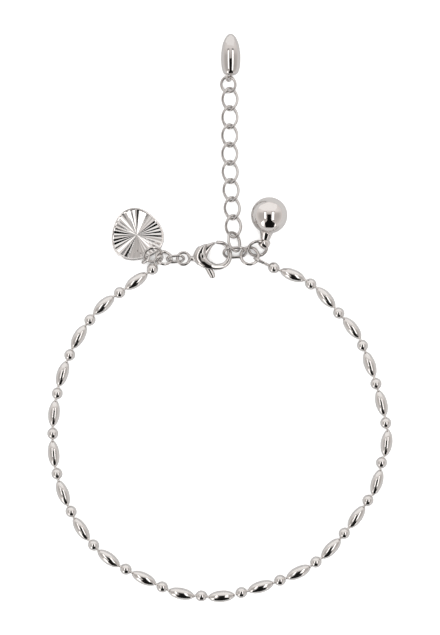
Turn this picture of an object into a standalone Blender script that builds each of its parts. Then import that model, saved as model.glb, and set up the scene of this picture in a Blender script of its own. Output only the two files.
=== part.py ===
"""Payal anklet lying flat: a loop of balls and ovals, a lobster clasp, a disc charm, a bell charm
and an extender chain with a drop. Metres, +Z up, the surface it lies on is z = 0."""
import math

import bmesh
import bpy
import numpy as np
from mathutils import Matrix, Vector

MM = 0.001

# bead string
BALL_D = 2.5 * MM
OVAL_D = 2.6 * MM
NECK_D = 0.6 * MM
NECK_LENGTH = 0.45 * MM
BEAD_COUNT = 47                  # balls and ovals in turn, a ball at both ends
BEAD_SIDES = 10
MEETING_GAP = 0.3 * MM           # between the two halves of the string
EYE_WIRE_D = 0.5 * MM

# centres of some balls, from the clasp's end of the string round to the bell's end
STRING_ROUTE = [(x * MM, y * MM) for x, y in (
    (-15.2, 10.9), (-29.1, -0.3), (-36.6, -16.9), (-36.7, -35.2), (-28.2, -51.5), (-13.3, -60.5),
    (-4.8, -62.6), (4.8, -61.9), (21.5, -55.1), (33.2, -41.3), (36.2, -33.2), (37.4, -24.2), (32.3, -6.8),
    (26.9, 0.8), (20.5, 7.5), (12.1, 11.2))]

# extender chain: link 1 carries the drop, and the last link lies next to the clasp
LINK_WIRE_D = 0.6 * MM
LINK_WIDTH = 3.95 * MM           # outside
LINK_PITCH = 4.1 * MM
LINK_COUNT = 8
LINK_PLAY = 0.2 * MM             # free length between two links
CHAIN_FOOT = (3.15 * MM, 18.08 * MM)     # the last link's outer end
CHAIN_BEND = (2.25 * MM, 34.0 * MM)
CHAIN_AIM = (2.25 * MM, 49.3 * MM)       # the chain runs on towards here

# jump rings
RING_WIRE_D = 0.66 * MM
RING_SEGMENTS = 16
WIRE_SIDES = 6

# clasp, with its middle plane level
CLASP_LEVEL = 1.5 * MM
CLASP_PIVOT = (-3.94 * MM, 13.95 * MM)
CLASP_THICKNESS = 2.2 * MM       # at the pivot
CLAW_THICKNESS = 0.9 * MM        # where the held link passes
REAR_THICKNESS = 1.3 * MM
LEVER_THICKNESS = 1.0 * MM
LEVER_PLAY = 0.15 * MM           # on each side of the lever in its slot
PIN_D = 0.7 * MM
PIN_PLAY = 0.15 * MM
REAR_RING_REACH = 4.28 * MM      # from the pivot back to the rear ring's centre
REAR_RING_DROP = 0.68 * MM       # from the pivot's line down to the rear ring's centre
REAR_RING_D = 2.72 * MM          # along the middle of its wire
COLLAR_D = 1.15 * MM
CLASP_UNIT = 1.0 * MM            # of the outline tables in clasp()
CUT_REACH = 8.0 * MM             # how far a cutting body stands past what it cuts

# disc charm
DISC_D = 11.8 * MM
DISC_HANG = 109.8                # degrees, from its ear to its centre
DISC_EDGE = 0.75 * MM
DISC_CROWN = 0.95 * MM
DISC_RAYS = 36
RAY_DEPTH = 0.14 * MM
DISC_LOBE = 0.055                # of its radius: the outline is three shallow lobes
DISC_LOBE_TURN = 106             # degrees
DISC_RIM = 0.45 * MM
EAR_D = 2.0 * MM                 # along the middle of its wire
EAR_WIRE_D = 0.48 * MM
EAR_STAND = 0.15 * MM            # from the disc's edge to the ear's centre
EAR_CENTRE = (-16.7 * MM, 12.92 * MM, 1.3 * MM)

# bell charm
BELL_D = 8.14 * MM
BELL_WALL = 0.45 * MM
BELL_HOLE_D = 0.9 * MM
BELL_CENTRE = (11.03 * MM, 22.91 * MM)
BELL_NECK_D = 2.0 * MM           # at its waist
BELL_COLLAR_D = 3.0 * MM
BELL_COLLAR_HEIGHT = 0.9 * MM
BELL_EYE_CENTRE = (9.94 * MM, 16.67 * MM, 2.2 * MM)
BELL_EYE_D = 1.9 * MM            # along the middle of its wire
BELL_EYE_WIRE_D = 0.5 * MM
BELL_EYE_WIDTH = 1.9 * MM

# drop at the extender's end
DROP_LENGTH = 9.2 * MM
DROP_WIDTH = 4.35 * MM
DROP_THICKNESS = 3.9 * MM
DROP_RISE = 0.36 * MM            # of its axis, from its foot to its tip
DROP_REST = 0.62                 # of its length back from the tip, where it touches the surface
DROP_RING_D = 3.4 * MM           # along the middle of its wire
DROP_RING_REACH = 0.81 * MM      # from the chain's end to the ring's centre
DROP_RING_SHIFT = -0.38 * MM     # sideways
DROP_RING_LEVEL = 1.09 * MM
DROP_EYE_REACH = 1.67 * MM       # from the ring's centre to the eye's
DROP_EYE_SHIFT = 0.13 * MM
DROP_EYE_LEVEL = 1.40 * MM
DROP_FOOT_REACH = 0.47 * MM      # from the eye's centre to the drop's foot
DROP_FOOT_SHIFT = 0.4 * MM
DROP_EYE_D = 1.7 * MM            # along the middle of its wire
DROP_EYE_WIRE_D = 0.54 * MM


def clear_scene():
    for item in list(bpy.data.objects):
        bpy.data.objects.remove(item, do_unlink=True)


def metal(name, colour, roughness):
    material = bpy.data.materials.new(name)
    material.use_nodes = True
    shader = material.node_tree.nodes["Principled BSDF"]
    shader.inputs["Base Color"].default_value = (*colour, 1.0)
    shader.inputs["Roughness"].default_value = roughness
    shader.inputs["Metallic"].default_value = 1.0
    return material


def add_object(name, points, faces, material):
    mesh = bpy.data.meshes.new(name)
    mesh.from_pydata([tuple(p) for p in points], [], faces)
    work = bmesh.new()
    work.from_mesh(mesh)
    bmesh.ops.recalc_face_normals(work, faces=work.faces)
    work.to_mesh(mesh)
    work.free()
    mesh.shade_smooth()
    mesh.set_sharp_from_angle(angle=math.radians(35))
    mesh.materials.append(material)
    item = bpy.data.objects.new(name, mesh)
    bpy.context.scene.collection.objects.link(item)
    return item


def combine(item, other, operation):
    """Boolean of two closed bodies; the second one stays as a hidden guide."""
    step = item.modifiers.new(operation.lower(), "BOOLEAN")
    step.operation = operation
    step.solver = "EXACT"
    step.object = other
    other.hide_render = True
    other.display_type = "WIRE"


def loop_shape(half_length, half_width, oval=False):
    """Middle line of a round ring, a straight-sided link or an oval one, long axis first."""
    points = []
    if oval:
        for step in range(RING_SEGMENTS):
            turn = -math.pi / 2 + 2 * math.pi * (step + 0.5) / RING_SEGMENTS
            points.append((half_length * math.cos(turn), half_width * math.sin(turn)))
        return points
    straight = half_length - half_width
    arc_steps = RING_SEGMENTS // 2
    for end in (1, -1):
        for step in range(arc_steps):
            turn = -math.pi / 2 + math.pi * (step + 0.5) / arc_steps
            points.append((end * (straight + half_width * math.cos(turn)), end * half_width * math.sin(turn)))
    return points


def loop_frame(heading, tilt, pitch):
    """Long axis, side axis and normal of a loop that is turned, raised at its far end, then rolled."""
    h, t, p = (math.radians(angle) for angle in (heading, tilt, pitch))
    along = Vector((math.cos(h) * math.cos(p), math.sin(h) * math.cos(p), math.sin(p)))
    side = Vector((-math.sin(h), math.cos(h), 0.0))
    normal = along.cross(side)
    rolled = side * math.cos(t) + normal * math.sin(t)
    return along, rolled, along.cross(rolled)


def loop_mesh(centre, heading, tilt, pitch, half_length, half_width, wire, twist=0.0, band=None,
              oval=False):
    """Closed wire loop; band gives the wire another width along the loop's own axis."""
    shape = loop_shape(half_length, half_width, oval)
    count = len(shape)
    along, side, normal = loop_frame(heading, tilt, pitch)
    reach = half_length - wire / 2
    middles, axes = [], []
    for u, v in shape:
        roll = math.radians(twist) * max(-1.0, min(1.0, u / reach))
        local_side = side * math.cos(roll) + normal * math.sin(roll)
        middles.append(Vector(centre) + along * u + local_side * v)
        axes.append(along.cross(local_side))
    points, faces = [], []
    for i in range(count):
        tangent = (middles[(i + 1) % count] - middles[i - 1]).normalized()
        axis = (axes[i] - tangent * axes[i].dot(tangent)).normalized()
        outward = tangent.cross(axis)
        for k in range(WIRE_SIDES):
            turn = 2 * math.pi * (k + 0.5) / WIRE_SIDES
            points.append(middles[i] + outward * (wire / 2 * math.cos(turn))
                          + axis * ((band or wire) / 2 * math.sin(turn)))
    for i in range(count):
        j = (i + 1) % count
        for k in range(WIRE_SIDES):
            m = (k + 1) % WIRE_SIDES
            faces.append((i * WIRE_SIDES + k, j * WIRE_SIDES + k, j * WIRE_SIDES + m, i * WIRE_SIDES + m))
    return points, faces


def loft(sections):
    """Skin over rings of equal count, closed by a cap at both ends."""
    sides = len(sections[0])
    points = [p for section in sections for p in section]
    faces = [tuple(range(sides))]
    faces.append(tuple(range((len(sections) - 1) * sides, len(sections) * sides)))
    for i in range(len(sections) - 1):
        for k in range(sides):
            m = (k + 1) % sides
            faces.append((i * sides + k, (i + 1) * sides + k, (i + 1) * sides + m, i * sides + m))
    return points, faces


def section_ring(centre, direction, half_width, half_height, sides):
    """Points of an upright ellipse across a direction."""
    side = Vector((0, 0, 1)).cross(direction).normalized()
    up = direction.cross(side).normalized()
    ring = []
    for k in range(sides):
        turn = 2 * math.pi * k / sides
        across = side * (half_width * math.cos(turn)) + up * (half_height * math.sin(turn))
        ring.append(Vector(centre) + across)
    return ring


def prism(outline, low, high):
    """Upright prism over an outline on the surface."""
    return loft([[Vector((x, y, z)) for x, y in outline] for z in (low, high)])


def ball_mesh(centre, radius, sides, rows):
    points = [Vector(centre) + Vector((0, 0, radius))]
    for row in range(1, rows):
        lift = math.pi * row / rows
        for k in range(sides):
            turn = 2 * math.pi * k / sides
            points.append(Vector(centre) + radius * Vector((
                math.sin(lift) * math.cos(turn), math.sin(lift) * math.sin(turn), math.cos(lift))))
    points.append(Vector(centre) - Vector((0, 0, radius)))
    faces = []
    last = len(points) - 1
    for k in range(sides):
        m = (k + 1) % sides
        faces.append((0, 1 + k, 1 + m))
        faces.append((last, last - sides + m, last - sides + k))
        for row in range(rows - 2):
            a = 1 + row * sides
            faces.append((a + k, a + sides + k, a + sides + m, a + m))
    return points, faces


def smooth_line(points, steps):
    """Catmull-Rom curve through open points."""
    knots = [Vector(p) for p in points]
    knots = [2 * knots[0] - knots[1], *knots, 2 * knots[-1] - knots[-2]]
    line = []
    for i in range(1, len(knots) - 2):
        a, b, c, d = knots[i - 1:i + 3]
        for step in range(steps):
            t = step / steps
            line.append(0.5 * (2 * b + (c - a) * t + (2 * a - 5 * b + 4 * c - d) * t ** 2
                               + (3 * b - a - 3 * c + d) * t ** 3))
    line.append(knots[-2])
    return line


def smooth_outline(points, steps=2):
    """Closed Catmull-Rom outline through points."""
    count = len(points)
    outline = []
    for i in range(count):
        a, b, c, d = (Vector(points[(i + k) % count]) for k in (-1, 0, 1, 2))
        for step in range(steps):
            t = step / steps
            outline.append(0.5 * (2 * b + (c - a) * t + (2 * a - 5 * b + 4 * c - d) * t ** 2
                                  + (3 * b - a - 3 * c + d) * t ** 3))
    return [(p.x, p.y) for p in outline]


def way_along(line):
    """The length of a line, and a function that gives its point at a distance."""
    stations = [0.0]
    for a, b in zip(line, line[1:]):
        stations.append(stations[-1] + (b - a).length)
    spots = np.array([tuple(p) for p in line])

    def at(distance):
        return Vector([float(np.interp(distance, stations, column)) for column in spots.T])

    return stations[-1], at


def bead_places():
    """Centre and direction of each bead, spread evenly along the route."""
    length, at = way_along(smooth_line([(x, y, OVAL_D / 2) for x, y in STRING_ROUTE], 40))
    spacing = length / (BEAD_COUNT - 1)
    places = []
    for i in range(BEAD_COUNT):
        here = i * spacing
        ahead = at(min(here + BALL_D / 2, length))
        behind = at(max(here - BALL_D / 2, 0.0))
        places.append((at(here), (ahead - behind).normalized()))
    return places, spacing


def bead_profile(is_ball, spacing):
    """Offsets along a bead with its radius there, necks included at the two ends."""
    if is_ball:
        half, radius, steps, power = BALL_D / 2, BALL_D / 2, 6, 1.0
    else:
        half, radius, steps, power = spacing - BALL_D / 2 - NECK_LENGTH, OVAL_D / 2, 7, 1.05
    flat = NECK_D / 2 / radius
    start = math.asin(flat ** (1 / power))
    profile = []
    for step in range(steps + 1):
        turn = start + (math.pi - 2 * start) * step / steps
        profile.append((-half * math.cos(turn) / math.cos(start), radius * math.sin(turn) ** power))
    return profile


STRING_EYES = {
    # heading, raise and roll of the loop at each end of the string, its half length and half width, and its
    # stand off the ball
    "left": dict(heading=55.0, pitch=20.0, tilt=55.0, half_length=1.15 * MM, half_width=0.85 * MM,
                 stand=0.2 * MM),
    "right": dict(heading=154.0, pitch=2.0, tilt=94.0, half_length=1.75 * MM, half_width=1.1 * MM,
                  stand=0.1 * MM),
}


def string_eye(side, ball_centre, silver):
    """Wire loop soldered to the last ball, and the point where its foot meets the ball."""
    eye = STRING_EYES[side]
    along, _, _ = loop_frame(eye["heading"], 0.0, eye["pitch"])
    foot = BALL_D / 2 + eye["stand"]
    centre = ball_centre + along * (foot + eye["half_length"])
    points, faces = loop_mesh(centre, eye["heading"], eye["tilt"], eye["pitch"], eye["half_length"],
                              eye["half_width"], EYE_WIRE_D)
    return add_object(f"string_eye_{side}", points, faces, silver), ball_centre + along * foot, along


def bead_string(silver):
    places, spacing = bead_places()
    half_count = (BEAD_COUNT + 1) // 2
    for side, beads in (("left", range(0, half_count)), ("right", range(half_count, BEAD_COUNT))):
        end_bead = beads[0] if side == "left" else beads[-1]
        eye, foot, along = string_eye(side, places[end_bead][0], silver)
        sections = []
        if side == "left":
            sections.append(section_ring(foot, -along, NECK_D / 2, NECK_D / 2, BEAD_SIDES))
        for i in beads:
            centre, direction = places[i]
            for offset, radius in bead_profile(i % 2 == 0, spacing):
                if i == end_bead and abs(offset) > BALL_D / 4 and (offset < 0) == (side == "left"):
                    continue
                spot = centre + direction * offset
                sections.append(section_ring(spot, direction, radius, radius, BEAD_SIDES))
        if side == "left":
            stub = offset + NECK_LENGTH - MEETING_GAP
            sections.append(section_ring(centre + direction * stub, direction, radius, radius, BEAD_SIDES))
        else:
            sections.append(section_ring(foot, along, NECK_D / 2, NECK_D / 2, BEAD_SIDES))
        string = add_object(f"bead_string_{side}", *loft(sections), silver)
        combine(string, eye, "UNION")


def link_size():
    """Half length and half width of a link's middle line, and its twist at the ends."""
    half_length = (LINK_PITCH + LINK_PLAY + LINK_WIRE_D) / 2
    half_width = (LINK_WIDTH - LINK_WIRE_D) / 2
    depth = (2 * half_length - LINK_PITCH) / 2
    crossing = half_width * math.sqrt(1 - (1 - depth / half_length) ** 2)
    twist = math.degrees(math.asin((LINK_WIRE_D + LINK_PLAY) * 1.25 / (2 * crossing)))
    return half_length, half_width, twist


def chain_places():
    """Centre and outward direction of each link, link 1 first, worked out from the chain's foot."""
    half_length = link_size()[0]
    line = smooth_line([CHAIN_FOOT, CHAIN_BEND, CHAIN_AIM], 40)
    line.append(line[-1] + (line[-1] - line[-2]).normalized() * LINK_PITCH * LINK_COUNT)
    _, at = way_along(line)
    places = []
    for number in range(1, LINK_COUNT + 1):
        here = half_length + (LINK_COUNT - number) * LINK_PITCH
        places.append((at(here), (at(here + LINK_WIRE_D) - at(here - LINK_WIRE_D)).normalized()))
    return places


def extender(silver):
    half_length, half_width, twist = link_size()
    level = LINK_WIRE_D / 2 + half_width * math.sin(math.radians(twist)) * 0.6
    for number, (spot, outward) in enumerate(chain_places(), 1):
        heading = math.degrees(math.atan2(outward.y, outward.x))
        mesh = loop_mesh((spot.x, spot.y, level), heading, 0.0, 0.0, half_length, half_width, LINK_WIRE_D,
                         twist, oval=True)
        add_object(f"extender_link_{number}", *mesh, silver)


RING_TABLE = (
    # name, x, y, z (mm), heading, tilt, pitch (degrees), half length, half width (mm), wire
    ("extender_ring", 3.17, 17.01, 2.02, -92, -47, 31, 2.30, 1.85, LINK_WIRE_D),
    ("hook_link", 3.34, 14.62, 1.52, 3, 50, 0, 2.50, 1.60, LINK_WIRE_D),
    ("end_ring", 6.66, 13.86, 1.27, 42, -9, -9, 1.95, 1.95, RING_WIRE_D),
    ("bell_ring", 8.50, 15.50, 1.60, 1, 38, -6, 2.03, 2.03, RING_WIRE_D),
    ("clasp_link", -10.01, 13.19, 1.35, 5, 55, 7, 1.85, 1.15, LINK_WIRE_D),
    ("string_ring", -12.65, 13.41, 1.35, 117, 24, -27, 1.70, 1.70, RING_WIRE_D),
    ("disc_ring", -15.10, 14.15, 1.93, -28, 28, -32, 1.95, 1.95, RING_WIRE_D),
)


def jump_rings(silver):
    for name, x, y, z, heading, tilt, pitch, half_length, half_width, wire in RING_TABLE:
        mesh = loop_mesh((x * MM, y * MM, z * MM), heading, tilt, pitch, half_length * MM, half_width * MM,
                         wire)
        add_object(name, *mesh, silver)


def from_pivot(points):
    """Outline points given in the clasp's unit from its pivot."""
    return [(CLASP_PIVOT[0] + x * CLASP_UNIT, CLASP_PIVOT[1] + y * CLASP_UNIT) for x, y in points]


def cutter(name, outline, silver):
    """Upright prism that stands past the clasp above and below."""
    return add_object(name, *prism(outline, CLASP_LEVEL - CUT_REACH, CLASP_LEVEL + CUT_REACH), silver)


def clasp(silver):
    """Body with claw, slot and rear ring; the lever in the slot; the pin through both."""
    body_outline = smooth_outline(from_pivot((
        (-2.1, -0.1), (-1.25, 1.8), (0.35, 2.55), (1.9, 3.0), (3.5, 3.35), (5.3, 2.8), (6.4, 1.45),
        (6.7, -0.1), (6.1, -2.0), (4.4, -3.1), (2.15, -3.25), (0.1, -2.8), (-1.55, -1.65))))
    thick = CLASP_THICKNESS / 2
    body = add_object("clasp_body", *prism(body_outline, CLASP_LEVEL - thick, CLASP_LEVEL + thick), silver)

    side_profile = ((-2.7, REAR_THICKNESS / 2), (-1.4, 0.45 * CLASP_THICKNESS), (0.1, 0.51 * CLASP_THICKNESS),
                    (1.9, 0.48 * CLASP_THICKNESS), (4.6, 0.59 * CLAW_THICKNESS),
                    (5.6, CLAW_THICKNESS / 2), (7.2, CLAW_THICKNESS / 2))
    upper = [(CLASP_PIVOT[0] + x * CLASP_UNIT, CLASP_LEVEL + z) for x, z in side_profile]
    lower = [(CLASP_PIVOT[0] + x * CLASP_UNIT, CLASP_LEVEL - z) for x, z in reversed(side_profile)]
    wedge = [[Vector((x, CLASP_PIVOT[1] + y, z)) for x, z in upper + lower] for y in (-CUT_REACH, CUT_REACH)]
    combine(body, add_object("clasp_taper", *loft(wedge), silver), "INTERSECT")

    opening = from_pivot(((1.05, 4.4), (3.2, 4.4), (3.2, 2.6), (4.6, 2.35), (5.5, 1.35), (5.6, -0.1),
                          (4.7, -1.6), (3.15, -1.9), (2.0, -1.35), (1.05, -0.35)))
    combine(body, cutter("clasp_opening", opening, silver), "DIFFERENCE")

    slot = LEVER_THICKNESS / 2 + LEVER_PLAY
    pocket = from_pivot(((-1.4, 4.0), (2.5, 4.0), (2.5, -4.0), (-1.15, -4.0), (-1.4, -1.5)))
    combine(body, add_object("clasp_slot", *prism(pocket, CLASP_LEVEL - slot, CLASP_LEVEL + slot), silver),
            "DIFFERENCE")

    pivot = Vector((*CLASP_PIVOT, CLASP_LEVEL))
    bore = [(CLASP_PIVOT[0] + x, CLASP_PIVOT[1] + y) for x, y in circle(PIN_D / 2 + PIN_PLAY, 12)]
    combine(body, cutter("clasp_bore", bore, silver), "DIFFERENCE")

    ring_centre = pivot + Vector((-REAR_RING_REACH, -REAR_RING_DROP, 0))
    ring = add_object("clasp_rear_ring", *loop_mesh(ring_centre, 0, 0, 0, REAR_RING_D / 2, REAR_RING_D / 2,
                                                    RING_WIRE_D), silver)
    combine(body, ring, "UNION")
    ahead = Vector((1, 0, 0))
    collar = [section_ring(ring_centre + ahead * (REAR_RING_D / 2 + reach * COLLAR_D), ahead,
                           COLLAR_D / 2, COLLAR_D / 2, 10) for reach in (0.0, 1.1)]
    combine(body, add_object("clasp_collar", *loft(collar), silver), "UNION")

    lever_outline = from_pivot((
        (2.85, 3.12), (1.9, 2.9), (0.55, 2.4), (-0.55, 1.6), (-1.05, 0.5), (-0.95, -0.7), (-0.1, -1.6),
        (0.35, -2.4), (0.95, -3.4), (1.9, -5.0), (2.4, -5.12), (2.7, -4.7), (2.3, -3.4), (1.55, -2.0),
        (1.05, -0.7), (1.35, 0.5), (2.05, 1.8), (2.85, 2.55)))
    half = LEVER_THICKNESS / 2
    lever = add_object("clasp_lever", *prism(lever_outline, CLASP_LEVEL - half, CLASP_LEVEL + half), silver)
    hole = cutter("clasp_lever_bore", bore, silver)
    combine(lever, hole, "DIFFERENCE")

    pin = [(CLASP_PIVOT[0] + x, CLASP_PIVOT[1] + y) for x, y in circle(PIN_D / 2, 10)]
    add_object("clasp_pin", *prism(pin, CLASP_LEVEL - thick, CLASP_LEVEL + thick), silver)
    for item in (lever, hole):
        item.data.transform(Matrix.Translation(-pivot))
        item.location = pivot


def circle(radius, sides):
    return [(radius * math.cos(2 * math.pi * k / sides), radius * math.sin(2 * math.pi * k / sides))
            for k in range(sides)]


def disc_charm(silver):
    """Sunburst disc with a flat back, a cut rim and an upright ear."""
    count = 2 * DISC_RAYS
    radius = DISC_D / 2
    hang = math.radians(DISC_HANG)
    centre_x = EAR_CENTRE[0] + (radius + EAR_STAND) * math.cos(hang)
    centre_y = EAR_CENTRE[1] + (radius + EAR_STAND) * math.sin(hang)
    rows = ((0.07, DISC_CROWN, 0.3), (0.55, 0.7 * DISC_CROWN + 0.3 * DISC_EDGE, 1.0),
            (1.0 - DISC_RIM / radius, DISC_EDGE, 1.0), (1.0 - 0.4 * DISC_RIM / radius, DISC_EDGE, 0.0),
            (1.0, 0.73 * DISC_EDGE, 0.0), (1.0, 0.16 * DISC_EDGE, 0.0), (0.97, 0.0, 0.0))
    points = [Vector((centre_x, centre_y, DISC_CROWN))]
    for share, height, relief in rows:
        for k in range(count):
            turn = 2 * math.pi * k / count
            uneven = 1 + DISC_LOBE * math.cos(3 * (turn - math.radians(DISC_LOBE_TURN)))
            groove = RAY_DEPTH * relief * (k % 2)
            points.append(Vector((centre_x + radius * share * uneven * math.cos(turn),
                                  centre_y + radius * share * uneven * math.sin(turn), height - groove)))
    faces = [(0, 1 + k, 1 + (k + 1) % count) for k in range(count)]
    for row in range(len(rows) - 1):
        a = 1 + row * count
        for k in range(count):
            m = (k + 1) % count
            faces.append((a + k, a + count + k, a + count + m, a + m))
    first = 1 + (len(rows) - 1) * count
    faces.append(tuple(first + k for k in range(count)))
    disc = add_object("disc_charm", points, faces, silver)
    ear = loop_mesh(EAR_CENTRE, 51, 110, -23, EAR_D / 2, EAR_D / 2, EAR_WIRE_D)
    combine(disc, add_object("disc_ear", *ear, silver), "UNION")


def bell_charm(silver):
    """Hollow ball with two small side holes, a collar and a neck that ends in an eye."""
    radius = BELL_D / 2
    centre = Vector((*BELL_CENTRE, radius))
    eye_centre = Vector(BELL_EYE_CENTRE)
    neck_way = (eye_centre - centre).normalized()

    bell = add_object("bell_charm", *ball_mesh(centre, radius, 16, 10), silver)
    shoulder = (eye_centre - centre).length - BELL_EYE_D / 2
    stations = ((0.93 * radius, 1.25 * BELL_NECK_D), (1.08 * radius, 1.1 * BELL_NECK_D),
                (shoulder - 0.7 * BELL_EYE_WIRE_D, BELL_NECK_D),
                (shoulder + 0.1 * BELL_EYE_WIRE_D, 0.9 * BELL_NECK_D))
    neck = [section_ring(centre + neck_way * s, neck_way, width / 2, width / 2, 12) for s, width in stations]
    combine(bell, add_object("bell_neck", *loft(neck), silver), "UNION")
    base = 0.9 * radius
    collar = [section_ring(centre + neck_way * s, neck_way, width / 2, width / 2, 12)
              for s, width in ((base, 0.9 * BELL_COLLAR_D), (base + 0.4 * BELL_COLLAR_HEIGHT, BELL_COLLAR_D),
                               (base + 0.6 * BELL_COLLAR_HEIGHT, 0.87 * BELL_COLLAR_D))]
    combine(bell, add_object("bell_collar", *loft(collar), silver), "UNION")
    eye = loop_mesh(eye_centre, 54, 116, -10, BELL_EYE_D / 2, BELL_EYE_D / 2, BELL_EYE_WIRE_D,
                    band=BELL_EYE_WIDTH)
    combine(bell, add_object("bell_eye", *eye, silver), "UNION")
    hollow = ball_mesh(centre, radius - BELL_WALL, 12, 8)
    combine(bell, add_object("bell_hollow", *hollow, silver), "DIFFERENCE")
    across = Vector((0.97, -0.23, 0.0)).normalized()
    holes = [section_ring(centre + across * reach, across, BELL_HOLE_D / 2, BELL_HOLE_D / 2, 8)
             for reach in (-1.2 * radius, 1.2 * radius)]
    combine(bell, add_object("bell_holes", *loft(holes), silver), "DIFFERENCE")


def drop_charm(silver):
    """Round almond drop with its point outward, an eye at its inner end, and the ring it is on."""
    spot, outward = chain_places()[0]
    chain_end = spot + outward * link_size()[0]
    ring_spot = Vector((chain_end.x + DROP_RING_SHIFT, chain_end.y + DROP_RING_REACH, DROP_RING_LEVEL))
    ring = loop_mesh(ring_spot, 101, -22, 5, DROP_RING_D / 2, DROP_RING_D / 2, LINK_WIRE_D)
    add_object("drop_ring", *ring, silver)
    eye_spot = Vector((ring_spot.x + DROP_EYE_SHIFT, ring_spot.y + DROP_EYE_REACH, DROP_EYE_LEVEL))
    foot_x, foot_y = eye_spot.x + DROP_FOOT_SHIFT, eye_spot.y + DROP_FOOT_REACH
    shape = (
        # share of the length back from the tip, share of the full width and thickness
        (0.0, 0.13), (0.04, 0.33), (0.11, 0.58), (0.215, 0.775), (0.4, 0.95), (0.58, 1.0), (0.74, 0.97),
        (0.88, 0.88), (0.96, 0.7), (1.0, 0.45))
    sections = []
    for along, share in shape:
        level = DROP_THICKNESS / 2 + DROP_RISE * (DROP_REST - along)
        spot = (foot_x, foot_y + (1 - along) * DROP_LENGTH, level)
        sections.append(section_ring(spot, Vector((0, -1, 0)), share * DROP_WIDTH / 2,
                                     share * DROP_THICKNESS / 2, 12))
    drop = add_object("drop_charm", *loft(sections), silver)
    eye = loop_mesh(eye_spot, 97, 50, 20, DROP_EYE_D / 2, DROP_EYE_D / 2, DROP_EYE_WIRE_D)
    combine(drop, add_object("drop_eye", *eye, silver), "UNION")


def main():
    clear_scene()
    silver = metal("polished_silver", (0.86, 0.85, 0.83), 0.12)
    bead_string(silver)
    extender(silver)
    jump_rings(silver)
    clasp(silver)
    disc_charm(silver)
    bell_charm(silver)
    drop_charm(silver)


main()
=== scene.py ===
# Payal anklet in polished silver: each solid of the frame is replaced by a smooth piece in the same place.
import math
import random

import bmesh
import bpy
import numpy as np
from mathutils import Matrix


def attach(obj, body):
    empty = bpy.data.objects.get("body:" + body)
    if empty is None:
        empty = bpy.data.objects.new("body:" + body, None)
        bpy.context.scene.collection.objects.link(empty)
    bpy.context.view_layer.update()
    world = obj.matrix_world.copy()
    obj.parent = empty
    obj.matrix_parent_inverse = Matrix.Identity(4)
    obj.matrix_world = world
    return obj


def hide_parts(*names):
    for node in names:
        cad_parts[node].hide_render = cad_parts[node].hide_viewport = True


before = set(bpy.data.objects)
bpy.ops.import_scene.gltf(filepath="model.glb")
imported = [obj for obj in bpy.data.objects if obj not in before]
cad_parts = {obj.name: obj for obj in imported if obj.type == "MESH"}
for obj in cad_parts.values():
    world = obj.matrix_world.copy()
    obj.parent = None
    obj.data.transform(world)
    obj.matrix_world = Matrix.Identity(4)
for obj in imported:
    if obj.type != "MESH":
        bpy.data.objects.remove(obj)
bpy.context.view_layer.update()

mm = 0.001
up = np.array([0.0, 0.0, 1.0])
random.seed(11)


class Value:
    # a socket of a shader: arithmetic on it adds Math nodes
    def __init__(self, bench, socket):
        self.bench = bench
        self.socket = socket

    def maths(self, operation, first, second):
        return self.bench.node("ShaderNodeMath", {"operation": operation}, {0: first, 1: second})

    def __add__(self, other):
        return self.maths("ADD", self, other)

    __radd__ = __add__

    def __sub__(self, other):
        return self.maths("SUBTRACT", self, other)

    def __rsub__(self, other):
        return self.maths("SUBTRACT", other, self)

    def __mul__(self, other):
        return self.maths("MULTIPLY", self, other)

    __rmul__ = __mul__


class Bench:
    # a material and its nodes
    def __init__(self, name):
        self.material = bpy.data.materials.new(name)
        self.material.use_nodes = True
        self.tree = self.material.node_tree
        self.tree.nodes.clear()

    def node(self, kind, settings=None, inputs=None, output=0):
        made = self.tree.nodes.new(kind)
        for key, value in (settings or {}).items():
            if key == "stops":
                ramp = made.color_ramp.elements
                while len(ramp) < len(value):
                    ramp.new(0.5)
                for element, (place, colour) in zip(ramp, value):
                    element.position = place
                    element.color = (*colour, 1.0)
            else:
                setattr(made, key, value)
        for key, value in (inputs or {}).items():
            if isinstance(value, Value):
                self.tree.links.new(value.socket, made.inputs[key])
            else:
                made.inputs[key].default_value = value
        return Value(self, made.outputs[output])

    def finish(self, shader):
        out = self.tree.nodes.new("ShaderNodeOutputMaterial")
        self.tree.links.new(shader.socket, out.inputs["Surface"])
        return self.material


# the silver of each kind of piece: colours are linear, lengths in millimetres
silverLooks = {
    "bead": dict(light=(0.905, 0.882, 0.865), dark=(0.820, 0.794, 0.778), patch=3.0, rough=(0.055, 0.12),
                 ripple=0.9, rippleHeight=0.0012, scratchHeight=0.0004),
    "wire": dict(light=(0.800, 0.776, 0.760), dark=(0.660, 0.636, 0.622), patch=1.5, rough=(0.05, 0.12),
                 ripple=0.5, rippleHeight=0.0015, scratchHeight=0.0006),
    "cast": dict(light=(0.800, 0.775, 0.760), dark=(0.680, 0.656, 0.642), patch=2.2, rough=(0.045, 0.11),
                 ripple=1.3, rippleHeight=0.0040, scratchHeight=0.0006),
    "shell": dict(light=(0.925, 0.888, 0.868), dark=(0.872, 0.835, 0.815), patch=5.0, rough=(0.03, 0.07),
                  ripple=2.4, rippleHeight=0.0022, scratchHeight=0.0003),
    "drop": dict(light=(0.850, 0.824, 0.808), dark=(0.780, 0.752, 0.738), patch=4.0, rough=(0.03, 0.075),
                 ripple=1.8, rippleHeight=0.0020, scratchHeight=0.0004),
}
# grains of roughness to a patch, and the turn and size of the fine scratches
silverGrain = dict(grains=4, scratchTurn=(0.5, 0.3, 0.9), scratchSize=(1.6, 0.07, 0.3))


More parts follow.
